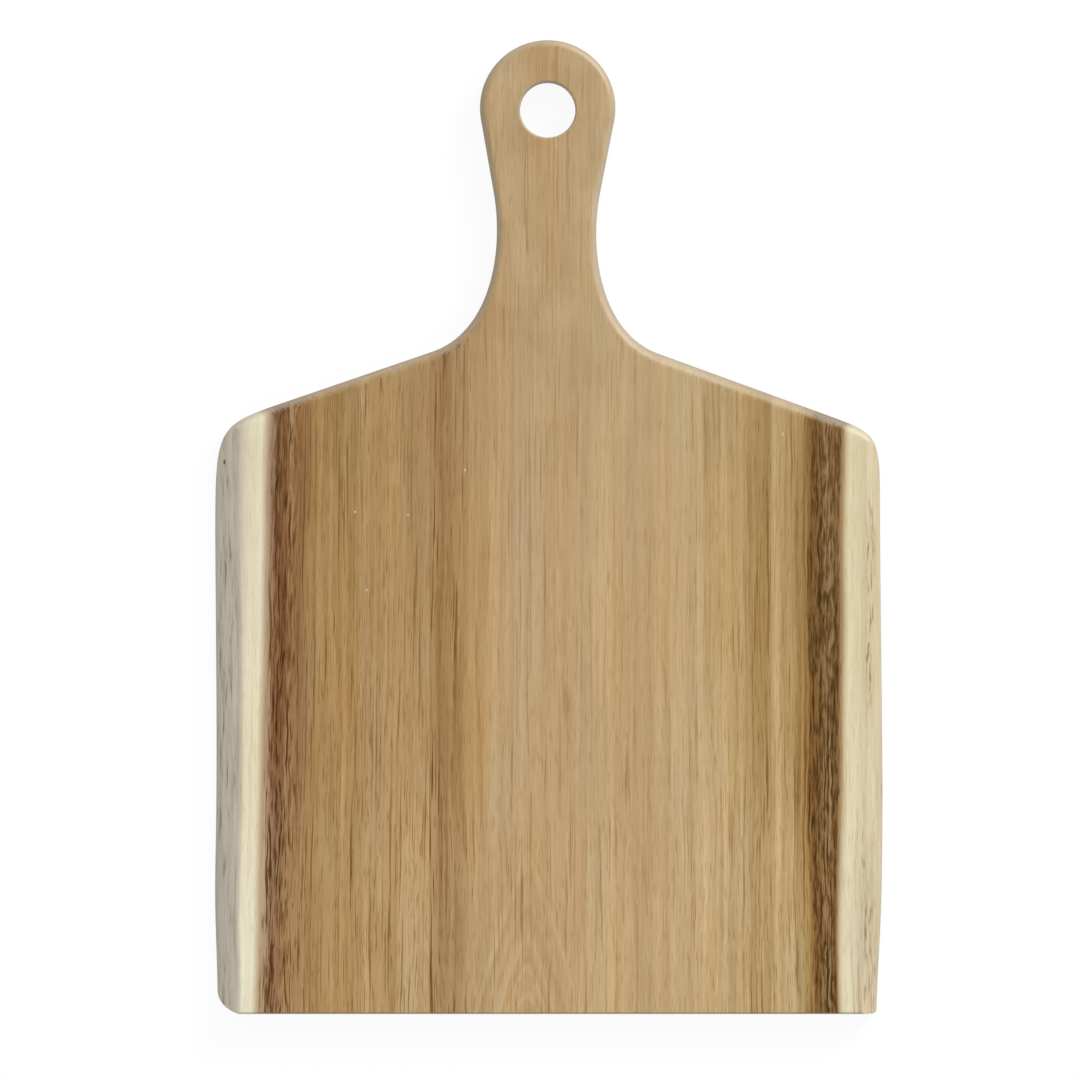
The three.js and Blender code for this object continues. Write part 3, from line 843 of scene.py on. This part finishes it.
    def bark_surface(self, colour):
        """Bare sapwood with brown streaks below the crest, and painted grey sheen near its foot."""
        smudges = self.noise(self.place, SMUDGES, self.shift)
        streaks = self.noise(self.place, STREAKS, self.other_shift)
        worn = self.math(
            "MULTIPLY_ADD", streaks, STREAK_SHARE, self.math("MULTIPLY", smudges, 1 - STREAK_SHARE))
        smudged = self.spot(self.place, SMUDGE_PLACE, SMUDGE_REACH)
        worn = self.math("MULTIPLY_ADD", smudged, -SMUDGE_DEPTH, worn)
        below_crest = self.add(self.math("SUBTRACT", THICKNESS, self.z), smudges, CREST_UNEVEN)
        bare = self.math("MULTIPLY", self.bark, self.remap(below_crest, 0.0, CREST_FADE))
        colour = self.mix(bare, colour, self.ramp(worn, self.wood["bark"], *BARK_WEAR))
        # Grey towards the foot of the bark surface is painted sheen
        sheen_grey_share = self.remap(self.z, SHEEN_GREY_FROM, 0.0, 0.0, self.wood["sheen_grey"])
        return self.mix(self.math("MULTIPLY", self.bark, sheen_grey_share), colour, BARK_SHEEN_GREY)

    def seams_and_marks(self, colour):
        """Bark left in a seam close to the edge, and small spots."""
        waver = self.noise(self.place, SEAM_WAVER, self.shift)
        dashes = self.noise(self.place, SEAM_DASHES, self.shift)
        for (seam_x, seam_y), length, width, strength in self.wood["seam"]:
            here = self.spot(self.place, (seam_x, seam_y), (panel_width, length))
            from_seam = self.math("SUBTRACT", self.x, seam_x)
            from_seam = self.math("ABSOLUTE", self.add(from_seam, waver, SEAM_WAVER_REACH))
            stain = self.remap(from_seam, SEAM_STAIN_WIDTH * width, 0.0, 0.0, strength)
            colour = self.mix(self.math("MULTIPLY", stain, here), colour, BARK_STAIN)
            dashed = self.remap(
                from_seam, width, SEAM_DASH_CORE * width, 0.0, SEAM_DASH_STRENGTH * strength)
            dashed = self.math("MULTIPLY", dashed, dashes)
            colour = self.mix(self.math("MULTIPLY", dashed, here), colour, BARK_BROWN)
        for centre, reach, mark_tone in self.wood["marks"]:
            colour = self.mix(self.spot(self.place, centre, reach), colour, mark_tone)
        return colour

    def finish(self):
        """Oiled finish, duller on flat faces, and the relief of fibres and pores."""
        flat = self.remap(self.facing_up, *FLAT_FACING)
        sheen = self.math("MULTIPLY_ADD", flat, FLAT_SHEEN - SHEEN, SHEEN)
        self.put(self.end.inputs["Specular IOR Level"], sheen)
        not_bark = self.math("SUBTRACT", 1.0, self.bark)
        rim = self.math("MULTIPLY", not_bark, self.math("SUBTRACT", 1.0, flat))
        roughness = self.math("MULTIPLY_ADD", self.fibre, FIBRE_ROUGHNESS, ROUGHNESS)
        roughness = self.math("MULTIPLY_ADD", flat, FLAT_ROUGHNESS, roughness)
        roughness = self.math("MULTIPLY_ADD", self.bark, BARK_ROUGHNESS, roughness)
        roughness = self.math("MULTIPLY_ADD", rim, EDGE_ROUGHNESS, roughness)
        self.put(self.end.inputs["Roughness"], roughness)
        relief = self.math("SUBTRACT", self.math("MULTIPLY", self.fibre, FIBRE_RELIEF), self.pores)
        self.put(self.end.inputs["Normal"], self.node("ShaderNodeBump", {
            "Height": relief, "Distance": RELIEF_DEPTH, "Strength": RELIEF_STRENGTH}))


def wood_material(wood):
    shader = Wood(wood)
    shader.find_grain()
    colour = shader.mix(1.0, shader.tone(), shader.shade(), "MULTIPLY")
    colour = shader.bark_surface(shader.worn_and_sheened_edges(colour))
    shader.put(shader.end.inputs["Base Color"], shader.seams_and_marks(colour))
    shader.finish()
    return shader.owner


def glue_material():
    shader = Nodes(bpy.data.materials.new("cured_glue"), "Principled BSDF")
    spread = shader.noise(shader.place_in_mm(), GLUE_SPREAD, GLUE_SHIFT)
    low, high = GLUE_TONES
    shader.put(shader.end.inputs["Base Color"], shader.ramp(
        spread, [(low, GLUE_DARK), (high, GLUE_PALE)], low, high))
    shader.put(shader.end.inputs["Roughness"], shader.remap(spread, low, high, *GLUE_ROUGHNESS))
    return shader.owner


board = board_mesh()
PIECES = (
    ("left_stave_wood", "left_stave", "live_edge_wood_left", -side_x - THICKNESS, left_joint_x,
     wood_material(LEFT_WOOD)),
    ("left_glue_film", "left_glue_line", "glue", left_joint_x, left_joint_x + GLUE_THICKNESS,
     glue_material()),
    ("centre_stave_wood", "centre_stave", "heartwood",
     left_joint_x + GLUE_THICKNESS, right_joint_x - GLUE_THICKNESS, wood_material(CENTRE_WOOD)),
    ("right_glue_film", "right_glue_line", "glue", right_joint_x - GLUE_THICKNESS, right_joint_x,
     glue_material()),
    ("right_stave_wood", "right_stave", "live_edge_wood_right", right_joint_x, side_x + THICKNESS,
     wood_material(RIGHT_WOOD)),
)
for piece_name, node, slot, from_x, to_x, material in PIECES:
    piece = cut_piece(board, piece_name, from_x, to_x)
    piece.data.materials.append(material)
    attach(piece, "root")
    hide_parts(node)
board.free()

# Floor: white to the camera and in reflections, and a little below the board's underside
FLOOR_SIZE = 8.0
FLOOR_ALBEDO = 0.08
FLOOR_WHITE = 0.925
FLOOR_DROP = 0.2 * MM
floor_mesh = bpy.data.meshes.new("floor")
half = FLOOR_SIZE / 2
floor_corners = ((-half, -half), (half, -half), (half, half), (-half, half))
floor_mesh.from_pydata([(x, y, -FLOOR_DROP) for x, y in floor_corners], [], [(0, 1, 2, 3)])
floor = bpy.data.objects.new("floor", floor_mesh)
bpy.context.scene.collection.objects.link(floor)
floor_shader = Nodes(bpy.data.materials.new("white_floor"), "Principled BSDF")
floor_shader.put(floor_shader.end.inputs["Base Color"], (FLOOR_ALBEDO,) * 3 + (1,))
floor_shader.put(floor_shader.end.inputs["Roughness"], 1.0)
floor_shader.put(floor_shader.end.inputs["Specular IOR Level"], 0.0)
floor_shader.put(floor_shader.end.inputs["Emission Color"], (1, 1, 1, 1))
floor_seen = floor_shader.node("ShaderNodeLightPath", {}, "Is Camera Ray")
floor_mirrored = floor_shader.node("ShaderNodeLightPath", {}, "Is Glossy Ray")
floor_shown = floor_shader.math("MAXIMUM", floor_seen, floor_mirrored)
floor_shader.put(
    floor_shader.end.inputs["Emission Strength"],
    floor_shader.math("MULTIPLY", floor_shown, FLOOR_WHITE))
floor_mesh.materials.append(floor_shader.owner)

# Room: white to the camera. The finish mirrors bright walls and a dark ceiling, which pass into
# each other between two heights
ROOM_LIGHT = 0.63
WALL_LIGHT = 1.25
CEILING_LIGHT = 0.015
WALL_TOP = 0.2
CEILING_FROM = 0.62
room = Nodes(bpy.data.worlds.new("white_room"), "Background")
bpy.context.scene.world = room.owner
room.put(room.end.inputs["Color"], (1, 1, 1, 1))
seen = room.node("ShaderNodeLightPath", {}, "Is Camera Ray")
mirrored = room.node("ShaderNodeLightPath", {}, "Is Glossy Ray")
direction = room.node("ShaderNodeTexCoord", {}, "Generated")
upward = room.parts("ShaderNodeSeparateXYZ", direction)[2]
walls = room.remap(upward, WALL_TOP, CEILING_FROM, WALL_LIGHT, CEILING_LIGHT)
lit = room.node("ShaderNodeMix", {0: mirrored, 2: ROOM_LIGHT, 3: walls}, data_type="FLOAT")
shown = room.node("ShaderNodeMix", {0: seen, 2: lit, 3: 1.0}, data_type="FLOAT")
room.put(room.end.inputs["Strength"], shown)

# Softbox up and to the right of the board
KEY_AZIMUTH = math.radians(48)
KEY_ELEVATION = math.radians(33)
KEY_DISTANCE = 4.0
KEY_SIZE = 1.45
KEY_POWER = 121.0
key_data = bpy.data.lights.new("key_softbox", "AREA")
key_data.shape = "SQUARE"
key_data.size = KEY_SIZE
key_data.energy = KEY_POWER
key = bpy.data.objects.new("key_softbox", key_data)
toward = Vector((
    math.cos(KEY_AZIMUTH) * math.cos(KEY_ELEVATION),
    math.sin(KEY_AZIMUTH) * math.cos(KEY_ELEVATION),
    math.sin(KEY_ELEVATION)))
key.location = toward * KEY_DISTANCE
key.rotation_euler = toward.to_track_quat("Z", "Y").to_euler()
bpy.context.scene.collection.objects.link(key)

# Camera: straight down on the board from far off, framed as the photograph is
CAMERA_HEIGHT = 5.0
CAMERA_X = -3.85
CAMERA_Y = -5.85
FRAME_WIDTH = 486.0
SENSOR = 36.0
camera_data = bpy.data.cameras.new("camera")
camera_data.sensor_width = SENSOR
camera_data.lens = SENSOR * CAMERA_HEIGHT / (FRAME_WIDTH * MM)
camera = bpy.data.objects.new("camera", camera_data)
camera.location = (CAMERA_X * MM, CAMERA_Y * MM, THICKNESS * MM + CAMERA_HEIGHT)
bpy.context.scene.collection.objects.link(camera)
bpy.context.scene.camera = camera
bpy.context.scene.view_settings.view_transform = "Standard"

bpy.context.view_layer.update()
